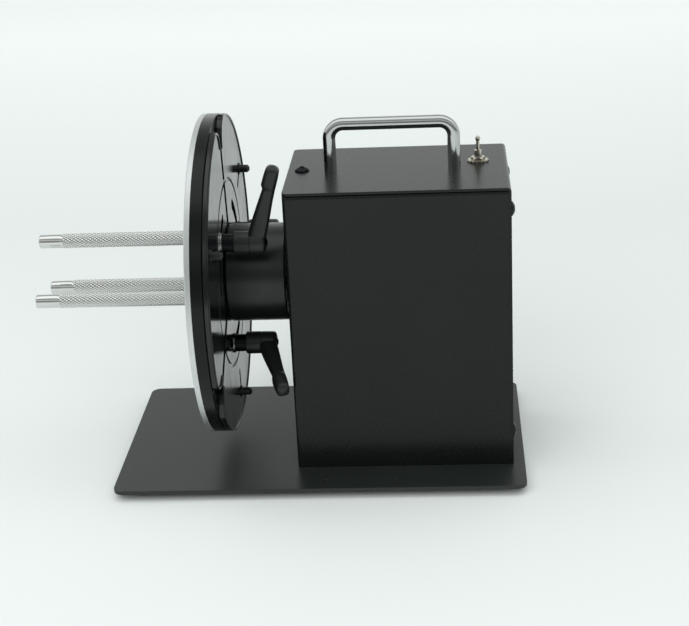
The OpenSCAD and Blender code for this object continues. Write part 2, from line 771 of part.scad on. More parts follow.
module hub_set_screws() color(dark_steel) facing_x(hub_x0 + hub_web / 2)
    for (a = hub_screw_angles) rotate(a) translate([shaft_d / 2, 0, 0]) rotate([0, 90, 0])
        difference() {
            cylinder(d = hub_screw_d, h = hub_screw_len);
            translate([0, 0, hub_screw_len - hub_socket])
                cylinder(d = hub_screw_d / 2, h = hub_socket + cut, $fn = 6);
        }

// Core holder

// Place of a pin for a turn of the guide plate: along its slot, then carried round with it
function pin_place(a) = [pin_r, 0] - scroll_rate * a * [cos(slot_lean), sin(slot_lean)];
function turned(p, a) = [p.x * cos(a) - p.y * sin(a), p.x * sin(a) + p.y * cos(a)];

// Middle line of a scroll slot and its direction
function scroll_point(a) = turned(pin_place(a), a);
function scroll_dir(a) = unit(scroll_point(a + 0.5) - scroll_point(a - 0.5));
function side(a, h) = let (d = scroll_dir(a)) scroll_point(a) + h * [d.y, -d.x];
function cap(a, h, turn) = let (d = scroll_dir(a), start = atan2(-d.x, d.y) + (turn < 0 ? 180 : 0))
    [for (i = [1:7]) scroll_point(a) + h * [cos(start + i * 22.5), sin(start + i * 22.5)]];

// Outline of a scroll slot, half a width to each side of its middle line, with round ends
function scroll_outline(h) = let (n = 18, a0 = -turn_out, a1 = turn_in) concat(
    [for (i = [0:n]) side(a0 + (a1 - a0) * i / n, h)],
    cap(a1, h, 1),
    [for (i = [n:-1:0]) side(a0 + (a1 - a0) * i / n, -h)],
    cap(a0, h, -1));

module scroll_slots(x, h, t) facing_x(x) for (s = stations) rotate(pin_angle + s)
    linear_extrude(t) polygon(scroll_outline(h));

module face_screw_places() for (i = [0:face_screw_count - 1])
    rotate(pin_angle + face_screw_turn + i * 360 / face_screw_count)
        translate([face_screw_r, 0, 0]) children();

module scroll_disc() color(black_gloss) difference() {
    facing_x(scroll_x0) rotate_extrude() polygon([[0, 0], [disc_r, 0],
        [disc_r, scroll_t - rim_break], [disc_r - rim_break, scroll_t], [0, scroll_t]]);
    facing_x(scroll_x0 - cut) linear_extrude(scroll_t + 2 * cut) nose_outline(fit_gap);
    scroll_slots(scroll_x0 - cut, slot_half, scroll_t + 2 * cut);
    scroll_slots(scroll_x1 - pocket_t, pocket_half, pocket_t + cut);
    for (s = stations) at_station(scroll_x1 - thread_len, clamp_r, clamp_angle + s)
        cylinder(d = stud_d + 4 * fit_gap, h = thread_len + cut);
    facing_x(scroll_x0 - cut) face_screw_places()
        cylinder(d = face_screw_d + 2 * hole_gap, h = face_thread + 2 * cut);
}

module face_plate() color(bright) difference() {
    facing_x(face_x0) rotate_extrude() polygon([[0, 0], [disc_r - rim_break, 0],
        [disc_r, rim_break], [disc_r, face_t], [0, face_t]]);
    facing_x(face_x0 - cut) linear_extrude(face_t + 2 * cut) nose_outline(fit_gap);
    scroll_slots(face_x0 - cut, slot_half, face_t + 2 * cut);
    facing_x(face_x0) face_screw_places() {
        translate([0, 0, -cut]) cylinder(d = face_screw_d + 2 * hole_gap, h = face_t + 2 * cut);
        translate([0, 0, -skin]) cylinder(d1 = 2 * face_screw_d + 2 * hole_gap,
            d2 = face_screw_d + 2 * hole_gap, h = face_screw_d / 2);
    }
}

// Countersunk screws, flush with the face plate
module face_screws() color(steel) facing_x(face_x0) face_screw_places() difference() {
    union() {
        cylinder(d1 = 2 * face_screw_d, d2 = face_screw_d, h = face_screw_d / 2);
        cylinder(d = face_screw_d, h = face_t + face_thread);
    }
    translate([0, 0, -cut]) cylinder(d = face_screw_d * 0.62, h = face_screw_d * 0.3 + cut, $fn = 6);
}

nose_screw_d = 5;
nose_screw_len = 12;
nose_washer_d = 2 * (pin_r_min - pin_d / 2) - 2;
nose_washer_t = 1.6;

module nose_washer() color(steel) facing_x(face_x0 - nose_washer_t)
    ring(nose_washer_d, nose_screw_d + 2 * hole_gap, nose_washer_t);

module nose_screw() color(dark_steel) facing_x(face_x0 - nose_washer_t) rotate([180, 0, 0])
    dome_screw(nose_screw_d, nose_washer_t + nose_screw_len);

// Spindle axis seen from a guide slot, whose x runs out along it from the pin's rest
slot_axis = pin_r * [-cos(slot_lean), sin(slot_lean)];
mouth_x = slot_axis.x + sqrt(pow(disc_r, 2) - pow(slot_axis.y, 2));
mouth_angle = pin_angle + atan2(mouth_x * sin(slot_lean), pin_r + mouth_x * cos(slot_lean));
post_angle = mouth_angle + petal_half;
rim_step = 20;

// Petal corner at one side of a slot's mouth, from the slot out past the rim
function mouth_side(s) = let (
    y = s * (slot_half + mouth_r),
    c = [slot_axis.x + sqrt(pow(disc_r - mouth_r, 2) - pow(y - slot_axis.y, 2)), y],
    first = -s * 90,
    last = atan2(c.y - slot_axis.y, c.x - slot_axis.x) - s * rim_step,
    n = 9,
    arc = [for (i = [0:n]) let (a = first + (last - first) * i / n) c + mouth_r * [cos(a), sin(a)]])
    concat(arc, [slot_axis + unit(arc[n] - slot_axis) * (disc_r + 4 * cut)]);
function backwards(p) = [for (i = [len(p) - 1:-1:0]) p[i]];

// Straight slot open at the rim, with the petal corners rounded at its mouth
module guide_slot() rotate(pin_angle) translate([pin_r, 0]) rotate(slot_lean) {
    x0 = -scroll_rate * turn_in;
    translate([x0, 0]) circle(slot_half);
    translate([x0, -slot_half]) square([disc_r - mouth_r + slot_axis.x - x0, 2 * slot_half]);
    polygon(concat(mouth_side(1), backwards(mouth_side(-1))));
}

// Outline of a slot along an arc about the spindle, with round ends
function arc_outline(r, h, a0, a1) = let (n = 20, step = 22.5) concat(
    [for (i = [0:n]) let (a = a0 + (a1 - a0) * i / n) (r + h) * [cos(a), sin(a)]],
    [for (i = [1:7]) let (a = a1 + i * step) r * [cos(a1), sin(a1)] + h * [cos(a), sin(a)]],
    [for (i = [n:-1:0]) let (a = a0 + (a1 - a0) * i / n) (r - h) * [cos(a), sin(a)]],
    [for (i = [1:7]) let (a = a0 + 180 + i * step) r * [cos(a0), sin(a0)] + h * [cos(a), sin(a)]]);

module guide_plate() color(black_gloss) difference() {
    facing_x(guide_x0) rotate_extrude() polygon([[shaft_d / 2 + fit_gap, 0], [disc_r - rim_break, 0],
        [disc_r, rim_break], [disc_r, guide_t - rim_break], [disc_r - rim_break, guide_t],
        [shaft_d / 2 + fit_gap, guide_t]]);
    facing_x(guide_x0 - cut) for (s = stations) rotate(s) {
        through = guide_t + 2 * cut;
        linear_extrude(through) guide_slot();
        // curved slot that passes the lever's stud as the plate turns
        linear_extrude(through) polygon(arc_outline(clamp_r, clamp_half,
            clamp_angle - turn_in - clamp_margin, clamp_angle + turn_out + clamp_margin));
        // short slot of the finger post
        rotate(post_angle) linear_extrude(through) {
            for (r = [post_r - post_slot_len, post_r]) translate([r, 0]) circle(post_slot_half);
            translate([post_r - post_slot_len, -post_slot_half])
                square([post_slot_len, 2 * post_slot_half]);
        }
    }
    facing_x(guide_x1 - guide_t / 3)
        ring(2 * groove_r + groove_w, 2 * groove_r - groove_w, guide_t / 3 + cut);
}

// Posts to turn the guide plate by, each with a collar and a tail in its slot
module finger_posts() color(black_plastic) for (s = stations)
    at_station(guide_x1, post_r, post_angle + s) {
        dome = post_d / 4;
        translate([0, 0, -guide_t]) cylinder(r = post_slot_half - fit_gap, h = guide_t + cut);
        cylinder(d = post_d * 1.45, h = post_h / 9);
        cylinder(d = post_d, h = post_h - dome);
        translate([0, 0, post_h - dome]) cylinder(d1 = post_d, d2 = post_d - 2 * dome, h = dome);
    }

// Knurled rod in front of the disc, stem through the scroll and the guide plate
tip_edge = 1.2;

module core_pin(i) color(bright) at_station(pin_x1, pin_r, pin_angle + stations[i]) {
    knurl_len = pin_len - tip_len;
    rotate([180, 0, 0]) rotate_extrude() polygon([
        [0, 0],
        [pin_d / 2, 0],
        [pin_d / 2, knurl_len - tip_edge],
        [tip_d / 2, knurl_len],
        [tip_d / 2, pin_len - tip_edge],
        [tip_d / 2 - tip_edge, pin_len],
        [0, pin_len]]);
    cylinder(d = stem_d, h = guide_x1 - pin_x1 - seat_gap);
}

// Shoe on the stem, held in the deep part of the scroll by the guide plate
module pin_shoe(i) color(steel) at_station(scroll_x1 - seat_gap - shoe_t, pin_r, pin_angle + stations[i])
    ring(shoe_d, stem_d + 2 * fit_gap, shoe_t);

// Clamping levers

teeth_d = neck_d - 2;
teeth_h = 12;
bore_gap = 0.2;
web_z = teeth_h + 1;
web_t = 2;
lever_screw_d = 5;
lever_head_h = 3.4;
spring_well_d = 10;
stud_bore = 8;
boss_edge = 2;
boss_taper = 0.5;
arm_root_z = 16.25;

module at_lever(i) at_station(guide_x1, clamp_r, clamp_angle + stations[i])
    rotate(lever_rest[i]) children();

// Stud into the scroll disc, steel neck and the toothed top inside the lever
module clamp_stud(i) color(dark_steel) at_lever(i) difference() {
    union() {
        translate([0, 0, scroll_x1 - guide_x1 - thread_len + cut])
            cylinder(d = stud_d, h = guide_x1 - scroll_x1 + thread_len + boss_z - cut);
        translate([0, 0, seat_gap + washer_t]) cylinder(d = neck_d, h = neck_h - fit_gap);
        translate([0, 0, boss_z - cut]) cylinder(d = teeth_d, h = teeth_h + cut);
    }
    translate([0, 0, boss_z + teeth_h - stud_bore])
        cylinder(d = lever_screw_d + 2 * hole_gap, h = stud_bore + cut);
}

module clamp_washer(i) color(bright) at_lever(i) translate([0, 0, seat_gap])
    ring(washer_d, stud_d + 2 * hole_gap, washer_t);

// Arm cross-section at a reach: width across, thickness along the stud, corner radius
function arm_z(x) = arm_root_z + x * tan(arm_lean);
module arm_section(x, w, t, r) for (sy = [-1, 1], sz = [-1, 1])
    translate([x, sy * (w / 2 - r), arm_z(x) + sz * (t / 2 - r)]) sphere(r, $fn = 20);
arm_root = [13, 13.5, 3];
arm_waist = [8.5, 10, 2.5];
arm_flare = [12.5, 11, 3];
arm_tip = [10, 10, 3.5];

// Moulded lever: boss over the toothed stud, waisted arm that leans out and flares at its tip
module lever(i) color(black_plastic) at_lever(i) translate([0, 0, boss_z]) difference() {
    waist_x = arm_len * 0.6;
    tip_x = arm_len - arm_tip[2];
    flare_x = tip_x - arm_len / 8;
    top_d = boss_d - 2 * boss_taper;
    union() {
        cylinder(d1 = boss_d, d2 = top_d, h = boss_h - boss_edge);
        translate([0, 0, boss_h - boss_edge])
            cylinder(d1 = top_d, d2 = top_d - 1.5 * boss_edge, h = boss_edge);
        hull() {
            arm_section(arm_root[2], arm_root[0], arm_root[1], arm_root[2]);
            arm_section(waist_x, arm_waist[0], arm_waist[1], arm_waist[2]);
        }
        hull() {
            arm_section(waist_x, arm_waist[0], arm_waist[1], arm_waist[2]);
            arm_section(flare_x, arm_flare[0], arm_flare[1], arm_flare[2]);
            arm_section(tip_x, arm_tip[0], arm_tip[1], arm_tip[2]);
        }
    }
    translate([0, 0, -cut]) cylinder(d = teeth_d + 2 * bore_gap, h = web_z + cut);
    cylinder(d = lever_screw_d + 2 * bore_gap, h = boss_h);
    translate([0, 0, web_z + web_t]) cylinder(d = spring_well_d, h = boss_h);
}

// Screw that keeps the lever on its stud, with a domed head at the top of the boss
module lever_screw(i) color(dark_steel) at_lever(i) translate([0, 0, boss_z + boss_h - boss_edge])
    headed_screw(lever_screw_d, spring_well_d - 2 * bore_gap, lever_head_h,
        boss_h - boss_edge - teeth_h + stud_bore - 2 * cut);

// Speed board on pillars, with its parts, the power inlet and the leads

module control_board() color("#1d4a2f") difference() {
    translate([board_x0, -board_size.y / 2, board_z]) cube(board_size);
    drilled(board_places(), board_screw_d + 2 * hole_gap, board_z, board_size.z);
}

terminal = [10, 12, 11];
terminal_y = 0.28 * board_size.y * [-1, 0, 1];
terminal_x = board_x0 + board_size.x - 1.2 * terminal.x;
capacitor_d = 12;
capacitor_h = 20;
sink = [6, 32, 20];
sink_base = 3;
fin_t = 2;
fin_count = 5;
pillar_flats = 6;
stud_past = 2;

module board_components() color("#3a3d44") translate([0, 0, board_z + board_size.z]) {
    for (y = terminal_y) translate([terminal_x, y - terminal.y / 2, 0]) cube(terminal);
    for (s = [-1, 1]) translate([board_x0 + board_size.x / 2, s * (capacitor_d / 2 + capacitor_h / 3), 0])
        cylinder(d = capacitor_d, h = capacitor_h);
    // finned heat sink
    translate([board_x0 + sink.x, -sink.y / 2, 0]) {
        cube([sink.x, sink.y, sink_base]);
        for (i = [0:fin_count - 1]) translate([0, i * (sink.y - fin_t) / (fin_count - 1), 0])
            cube([sink.x, fin_t, sink.z]);
    }
}

// Hexagon pillars with a stud through the base and a stud through the board
module board_standoffs() color(bright) for (p = board_places()) translate([p.x, p.y, deck_z]) {
    cylinder(d = pillar_flats / cos(30), h = standoff_h, $fn = 6);
    translate([0, 0, -base_t])
        cylinder(d = board_screw_d, h = base_t + standoff_h + board_size.z + stud_past);
}

module at_inlet() translate([rear_x, 0, inlet_z]) rotate([0, 90, 0]) children();

inlet_lip_d = 14;
inlet_lip_t = 1.8;
inlet_depth = 18;
plug_d = 6.2;
plug_depth = 9.5;
contact_d = 2.1;
inlet_nut_flats = 14;
inlet_nut_t = 2.5;

// Barrel socket with its centre contact, flush in the rear end
module power_inlet() color(black_plastic) at_inlet() {
    difference() {
        union() {
            translate([0, 0, -inlet_depth]) cylinder(d = inlet_d, h = inlet_depth + cover_t);
            translate([0, 0, cover_t]) cylinder(d = inlet_lip_d, h = inlet_lip_t);
        }
        translate([0, 0, cover_t + inlet_lip_t - plug_depth]) cylinder(d = plug_d, h = plug_depth + cut);
    }
    translate([0, 0, cover_t + inlet_lip_t - plug_depth - cut]) cylinder(d = contact_d, h = plug_depth);
}

module inlet_nut() color(steel) at_inlet() translate([0, 0, -inlet_nut_t]) difference() {
    cylinder(d = inlet_nut_flats / cos(30), h = inlet_nut_t, $fn = 6);
    translate([0, 0, -cut]) cylinder(d = inlet_d + 2 * hole_gap, h = inlet_nut_t + 2 * cut);
}

// Leads: tubes swept along smooth curves from each device to its terminal
lead_d = 4;
lead_sides = 8;
lead_stub = 3;

function bezier(p, t) = pow(1 - t, 3) * p[0] + 3 * pow(1 - t, 2) * t * p[1]
    + 3 * (1 - t) * t * t * p[2] + pow(t, 3) * p[3];

// Middle line of a lead: straight out of both seats, with a smooth curve between them
function lead_path(seat, out, bow, n) = let (p = [for (i = [0, 1]) seat[i] + run_gap * out[i]],
    q = [for (i = [0, 1]) p[i] + lead_stub * out[i]])
    concat([p[0]], [for (i = [0:n]) bezier([q[0], q[0] + bow[0], q[1] + bow[1], q[1]], i / n)], [p[1]]);

module lead(path, start_side) {
    n = len(path) - 1;
    dirs = [for (i = [0:n]) unit(path[min(i + 1, n)] - path[max(i - 1, 0)])];
    sides = [for (i = 0, s = start_side; i <= n; i = i + 1,
        s = i <= n ? unit(s - (s * dirs[i]) * dirs[i]) : s) s];
    points = [for (i = [0:n], k = [0:lead_sides - 1]) let (a = k * 360 / lead_sides)
        path[i] + lead_d / 2 * (cos(a) * sides[i] + sin(a) * cross(dirs[i], sides[i]))];
    walls = [for (i = [0:n - 1], k = [0:lead_sides - 1], half = [0, 1])
        let (a = i * lead_sides + k, b = i * lead_sides + (k + 1) % lead_sides)
        half == 0 ? [a, b + lead_sides, b] : [a, a + lead_sides, b + lead_sides]];
    first = [for (k = [1:lead_sides - 2]) [0, k, k + 1]];
    e = n * lead_sides;
    last = [for (k = [1:lead_sides - 2]) [e, e + k + 1, e + k]];
    polyhedron(points, concat(walls, first, last));
}

module wiring() color("#202020") {
    inlet_end = [rear_x - inlet_depth, 0, inlet_z];
    motor_end = [motor_x1 - motor_cap * 5 / 8, 0, axis_z - motor_cap_d / 2];
    switch_end = [switch_x, switch_shift, top_z - cover_t - switch_body_size.z - lug.z];
    terminals = [for (y = terminal_y)
        [terminal_x + terminal.x / 2, y, board_z + board_size.z + terminal.z]];
    loop = 2 * terminal.z;
    sway = 0.3 * case_w;
    rise = 0.6 * axis_h;
    lead(lead_path([inlet_end, terminals[1]], [[-1, 0, 0], [0, 0, 1]],
        [[-loop, 0, 0], [0, 0, loop]], 14), [0, 1, 0]);
    lead(lead_path([motor_end, terminals[0]], [[0, 0, -1], [0, 0, 1]],
        [[0, 0, -rise / 2], [0, 0, rise / 2]], 16), [0, 1, 0]);
    lead(lead_path([switch_end, terminals[2]], [[0, 0, -1], [0, 0, 1]],
        [[0, 1.25 * sway, -sway], [0, sway, rise]], 20), [1, 0, 0]);
}

base_plate();
rubber_feet();
chassis();
cover();
cover_screws();
chassis_screws();
carry_handle();
handle_screws();
switch_body();
switch_washer();
switch_nut();
switch_bat();
bearing_housing();
housing_screws();
bearing_outer_rings();
bearing_inner_rings();
motor_bracket();
bracket_screws();
gearbox();
gearbox_shaft();
motor();
control_board();
board_components();
board_standoffs();
power_inlet();
inlet_nut();
wiring();
spindle_shaft();
coupling_jaws();
coupling_spider();
hub();
hub_set_screws();
scroll_disc();
face_plate();
face_screws();
nose_washer();
nose_screw();
guide_plate();
finger_posts();
core_pin(0);  // core_pin_1
core_pin(1);  // core_pin_2
core_pin(2);  // core_pin_3
pin_shoe(0);  // pin_shoe_1
pin_shoe(1);  // pin_shoe_2
pin_shoe(2);  // pin_shoe_3
clamp_stud(0);  // clamp_stud_1
clamp_stud(1);  // clamp_stud_2
clamp_stud(2);  // clamp_stud_3
clamp_washer(0);  // clamp_washer_1
clamp_washer(1);  // clamp_washer_2
clamp_washer(2);  // clamp_washer_3
lever(0);  // lever_1
lever(1);  // lever_2
lever(2);  // lever_3
lever_screw(0);  // lever_screw_1
lever_screw(1);  // lever_screw_2
lever_screw(2);  // lever_screw_3
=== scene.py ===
import bpy
import math
import numpy as np
from mathutils import Matrix, Vector


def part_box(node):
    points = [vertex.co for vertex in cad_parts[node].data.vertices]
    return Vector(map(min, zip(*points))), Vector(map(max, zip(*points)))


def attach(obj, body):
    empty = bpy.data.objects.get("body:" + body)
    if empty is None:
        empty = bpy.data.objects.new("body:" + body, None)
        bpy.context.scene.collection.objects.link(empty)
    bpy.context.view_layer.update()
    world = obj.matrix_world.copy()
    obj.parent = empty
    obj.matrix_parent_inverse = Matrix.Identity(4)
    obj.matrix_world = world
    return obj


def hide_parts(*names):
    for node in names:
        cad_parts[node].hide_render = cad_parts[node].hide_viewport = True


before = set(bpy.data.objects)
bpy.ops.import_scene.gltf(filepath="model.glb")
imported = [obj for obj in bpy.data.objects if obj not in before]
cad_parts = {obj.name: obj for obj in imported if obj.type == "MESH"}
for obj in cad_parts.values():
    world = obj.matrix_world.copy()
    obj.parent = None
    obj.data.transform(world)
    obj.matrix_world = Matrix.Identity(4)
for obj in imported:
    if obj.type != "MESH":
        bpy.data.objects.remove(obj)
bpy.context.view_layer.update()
mm = 0.001
scene = bpy.context.scene
scene.view_settings.view_transform = "Standard"
print("frame loaded:", len(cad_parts), "nodes")


# camera

camera = {
    "place": (137.4, -1199.2, 590.6),  # mm, in the part's frame
    "yaw": -4.14, "pitch": -21.52, "roll": -2.84,  # degrees
    "focal": 1599.2, "imageWidth": 689,  # pixels
    "sensor": 36,  # mm
    "sight": 50,  # metres
}


def makeCamera(c):
    yaw, pitch, roll = (math.radians(c[k]) for k in ("yaw", "pitch", "roll"))
    ahead = Vector((math.sin(yaw) * math.cos(pitch), math.cos(yaw) * math.cos(pitch), math.sin(pitch)))
    level = Vector((math.cos(yaw), -math.sin(yaw), 0))
    above = level.cross(ahead)
    right = level * math.cos(roll) + above * math.sin(roll)
    up = above * math.cos(roll) - level * math.sin(roll)
    data = bpy.data.cameras.new("camera")
    data.sensor_width = c["sensor"]
    data.sensor_fit = "HORIZONTAL"
    data.lens = c["focal"] / c["imageWidth"] * data.sensor_width
    data.clip_end = c["sight"]
    eye = bpy.data.objects.new("camera", data)
    turn = Matrix((right, up, -ahead)).transposed().to_4x4()
    eye.matrix_world = Matrix.Translation(Vector(c["place"]) * mm) @ turn
    scene.collection.objects.link(eye)
    scene.camera = eye


makeCamera(camera)
print("camera placed")


# material tools

def srgb(hexText):
    # sRGB hex to linear, by the two parts of the sRGB curve
    parts = [int(hexText[i:i + 2], 16) / 255 for i in (1, 3, 5)]
    return tuple(((p + 0.055) / 1.055) ** 2.4 if p > 0.04045 else p / 12.92 for p in parts) + (1.0,)


def feed(tree, node, inputs):
    # another node's output is linked, and a plain value goes to the property or the socket of that name
    for key, value in inputs.items():
        if isinstance(value, bpy.types.NodeSocket):
            tree.links.new(value, node.inputs[key])
        elif isinstance(key, str) and hasattr(node, key):
            setattr(node, key, value)
        else:
            node.inputs[key].default_value = value


def add(tree, kind, inputs=None):
    node = tree.nodes.new(kind)
    feed(tree, node, inputs or {})
    return node


def start(name):
    material = bpy.data.materials.new(name)
    material.use_nodes = True
    tree = material.node_tree
    shader = tree.nodes["Principled BSDF"]
    place = add(tree, "ShaderNodeTexCoord").outputs["Object"]
    return material, tree, shader, place


def perMm(spacing):
    # pattern scale whose features are about this many millimetres apart
    return 1 / (spacing * mm)


def noise(tree, place, spacing, detail=3.0):
    return add(tree, "ShaderNodeTexNoise",
               {"Scale": perMm(spacing), "Detail": detail, "Vector": place}).outputs["Fac"]


def stretched(tree, place, scale):
    return add(tree, "ShaderNodeMapping", {"Scale": scale, "Vector": place}).outputs[0]


def maths(tree, operation, *values):
    return add(tree, "ShaderNodeMath", {"operation": operation, **dict(enumerate(values))}).outputs[0]


def ramp(tree, source, low, high, fromLow=0.3, fromHigh=0.7):
    return add(tree, "ShaderNodeMapRange", {
        "From Min": fromLow, "From Max": fromHigh, "To Min": low, "To Max": high, "Value": source,
    }).outputs["Result"]


def blend(tree, share, low, high):
    # colour between two tones, each a hex text or another node's output
    low, high = (srgb(tone) if isinstance(tone, str) else tone for tone in (low, high))
    return add(tree, "ShaderNodeMix", {"data_type": "RGBA", 0: share, 6: low, 7: high}).outputs[2]


def relief(tree, height, strength, depth, edge=None):
    # bump of a depth in mm, on a normal rounded over the edge in mm as a deburred or coated edge is
    inputs = {"Strength": strength, "Distance": depth * mm, "Height": height}
    if edge:
        inputs["Normal"] = add(tree, "ShaderNodeBevel", {"samples": 6, "Radius": edge * mm}).outputs[0]
    return add(tree, "ShaderNodeBump", inputs).outputs[0]


# powder coated steel, baked: a soft satin skin with the faint orange peel of melted powder
coat = {
    "drift": 70, "skin": 1.6, "dust": 9,  # spacing of the patterns, mm
    "dustTone": "#6a6e6c", "dustShare": 0.06, "dustReach": (0.02, 0.05),
    "roughSpread": 0.02, "depth": 0.2, "edge": 0.8,  # depth and edge in mm
}


def powderCoat(name, dark, light, rough, peel, ior=1.4):
    material, tree, shader, place = start(name)
    drift = noise(tree, place, coat["drift"])
    skin = noise(tree, place, coat["skin"], 2.0)
    dust = add(tree, "ShaderNodeTexVoronoi",
               {"Scale": perMm(coat["dust"]), "Vector": place}).outputs["Distance"]
    tone = blend(tree, ramp(tree, drift, 0.0, 1.0), dark, light)
    speck = ramp(tree, dust, coat["dustShare"], 0.0, *coat["dustReach"])
    feed(tree, shader, {
        "Base Color": blend(tree, speck, tone, coat["dustTone"]),
        "Roughness": ramp(tree, skin, rough - coat["roughSpread"], rough + coat["roughSpread"]),
        "Normal": relief(tree, skin, peel, coat["depth"], coat["edge"]),
        "IOR": ior,
    })
    return material


# black acrylic, machined and polished: deep black with a clear mirror and a few hairline marks
acrylic = {
    "haze": 25, "hair": 0.8, "hairStretch": (1.0, 0.06, 1.0),  # spacing of the patterns, mm
    "hazeRough": 0.1, "hairStrength": 0.03, "depth": 0.1, "edge": 0.5,  # depth and edge in mm
}


def polishedBlack(name, colour, rough, ior=1.49):
    material, tree, shader, place = start(name)
    haze = noise(tree, place, acrylic["haze"], 4.0)
    hair = noise(tree, stretched(tree, place, acrylic["hairStretch"]), acrylic["hair"], 1.0)
    feed(tree, shader, {
        "Base Color": srgb(colour),
        "Roughness": ramp(tree, haze, rough, rough + acrylic["hazeRough"]),
        "Normal": relief(tree, hair, acrylic["hairStrength"], acrylic["depth"], acrylic["edge"]),
        "IOR": ior,
    })
    return material


# turned metal: fine rings left by the cutting tool around the spindle axis
turning = {
    "cloud": 18, "roughDown": 0.04, "roughUp": 0.06,  # spacing of the clouds, mm
    "wave": 20, "distortion": 0.6,  # wave: rings that the texture draws at a scale of 1
    "strength": 0.08, "depth": 0.1, "edge": 0.5,  # depth and edge in mm
}


def turnedMetal(name, colour, rough, metallic, ringMm, axisHeight, ior=1.5):
    material, tree, shader, place = start(name)
    centred = add(tree, "ShaderNodeMapping", {"Location": (0, 0, -axisHeight), "Vector": place}).outputs[0]
    rings = add(tree, "ShaderNodeTexWave", {
        "wave_type": "RINGS", "rings_direction": "X", "Scale": perMm(ringMm) / turning["wave"],
        "Distortion": turning["distortion"], "Detail": 2.0, "Vector": centred,
    }).outputs["Fac"]
    cloud = noise(tree, place, turning["cloud"])
    feed(tree, shader, {
        "Base Color": srgb(colour), "Metallic": metallic, "IOR": ior,
        "Roughness": ramp(tree, cloud, rough - turning["roughDown"], rough + turning["roughUp"]),
        "Normal": relief(tree, rings, turning["strength"], turning["depth"], turning["edge"]),
    })
    return material


# plated or drawn metal: an even bright skin with fine lines along the part
drawing = {"roughDown": 0.05, "roughUp": 0.08, "strength": 0.05, "depth": 0.1}  # depth in mm


def drawnMetal(name, colour, rough, along, lineMm):
    material, tree, shader, place = start(name)
    lines = noise(tree, stretched(tree, place, along), lineMm)
    feed(tree, shader, {
        "Base Color": srgb(colour), "Metallic": 1.0,
        "Roughness": ramp(tree, lines, rough - drawing["roughDown"], rough + drawing["roughUp"]),
        "Normal": relief(tree, lines, drawing["strength"], drawing["depth"]),
    })
    return material


# plated washer: flat faces across the spindle are painted dark as a painted reflection of the dark case wall
# beside them, while the rim stays bright plated metal
paintedReflection = {"rough": 0.9, "facing": (0.6, 0.9)}  # facing: how square to the spindle the painted dark reflection begins and ends


def paintedReflectionMetal(name, rim, face, rough):
    material, tree, shader, place = start(name)
    normal = add(tree, "ShaderNodeTexCoord").outputs["Normal"]
    flat = maths(tree, "ABSOLUTE", add(tree, "ShaderNodeSeparateXYZ", {0: normal}).outputs["X"])
    feed(tree, shader, {
        # painted reflection: faces square to the spindle get the dark face tone, dull and not metallic
        "Base Color": blend(tree, ramp(tree, flat, 0.0, 1.0, *paintedReflection["facing"]), rim, face),
        "Metallic": ramp(tree, flat, 1.0, 0.0, *paintedReflection["facing"]),
        "Roughness": ramp(tree, flat, rough, paintedReflection["rough"], *paintedReflection["facing"]),
    })
    return material


# rolled knurl on a bright rod: bright crests over valleys darkened by painted shade, darker towards the
# groove bottoms
rolling = {"smear": 6, "roughDown": 0.04, "roughUp": 0.08, "crest": (0.02, 0.4)}  # smear: spacing, mm


def knurledMetal(name, valley, crest, rough):
    material, tree, shader, place = start(name)
    height = add(tree, "ShaderNodeAttribute", {"attribute_name": "crest"}).outputs["Fac"]
    smear = noise(tree, place, rolling["smear"])
    feed(tree, shader, {
        # painted shade: the base colour runs from the dark valley tone at the groove bottoms to the bright
        # crest tone
        "Base Color": blend(tree, ramp(tree, height, 0.0, 1.0, *rolling["crest"]), valley, crest),
        "Metallic": 1.0,
        "Roughness": ramp(tree, smear, rough - rolling["roughDown"], rough + rolling["roughUp"]),
    })
    return material


# moulded plastic or rubber: spark-textured tool surface, matt in the valleys
moulding = {"roughDown": 0.06, "roughUp": 0.08, "depth": 0.2, "ior": 1.46}  # depth in mm


def moulded(name, colour, rough, grainMm, strength):
    material, tree, shader, place = start(name)
    grain = noise(tree, place, grainMm)
    feed(tree, shader, {
        "Base Color": srgb(colour), "IOR": moulding["ior"],
        "Roughness": ramp(tree, grain, rough - moulding["roughDown"], rough + moulding["roughUp"]),
        "Normal": relief(tree, grain, strength, moulding["depth"]),
    })
    return material


axisHeight = (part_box("hub")[0].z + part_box("hub")[1].z) / 2
evenLines, barLines, shaftLines = (1, 1, 1), (0.05, 1, 0.05), (1, 0.1, 0.1)
caseCoat = powderCoat("powder_coated_steel_case", "#0e1211", "#111514", 0.27, 0.01, 1.34)
baseCoat = powderCoat("powder_coated_steel_base", "#1d2120", "#222625", 0.4, 0.01, 1.48)
guideBlack = polishedBlack("polished_black_acrylic", "#0a0b0b", 0.12)
discBlack = polishedBlack("satin_black_acrylic_turned", "#0a0b0c", 0.2, 1.32)
hubBlack = turnedMetal("black_anodised_aluminium_turned", "#141617", 0.3, 0.0, 0.6, axisHeight, 1.48)
faceBright = turnedMetal("bright_aluminium_turned", "#d9dbdb", 0.48, 1.0, 0.5, axisHeight)
# the first tone is painted shade for the knurl valleys
pinBright = knurledMetal("bright_aluminium_knurled_painted_valley_shade", "#454643", "#f2f3f0", 0.13)
handleBright = drawnMetal("stainless_steel_polished_bar", "#bcbebd", 0.1, barLines, 0.5)
nickel = drawnMetal("nickel_plated_brass", "#c4bfb3", 0.2, evenLines, 1.5)
zinc = drawnMetal("zinc_plated_steel", "#bfc2c1", 0.3, evenLines, 1.2)
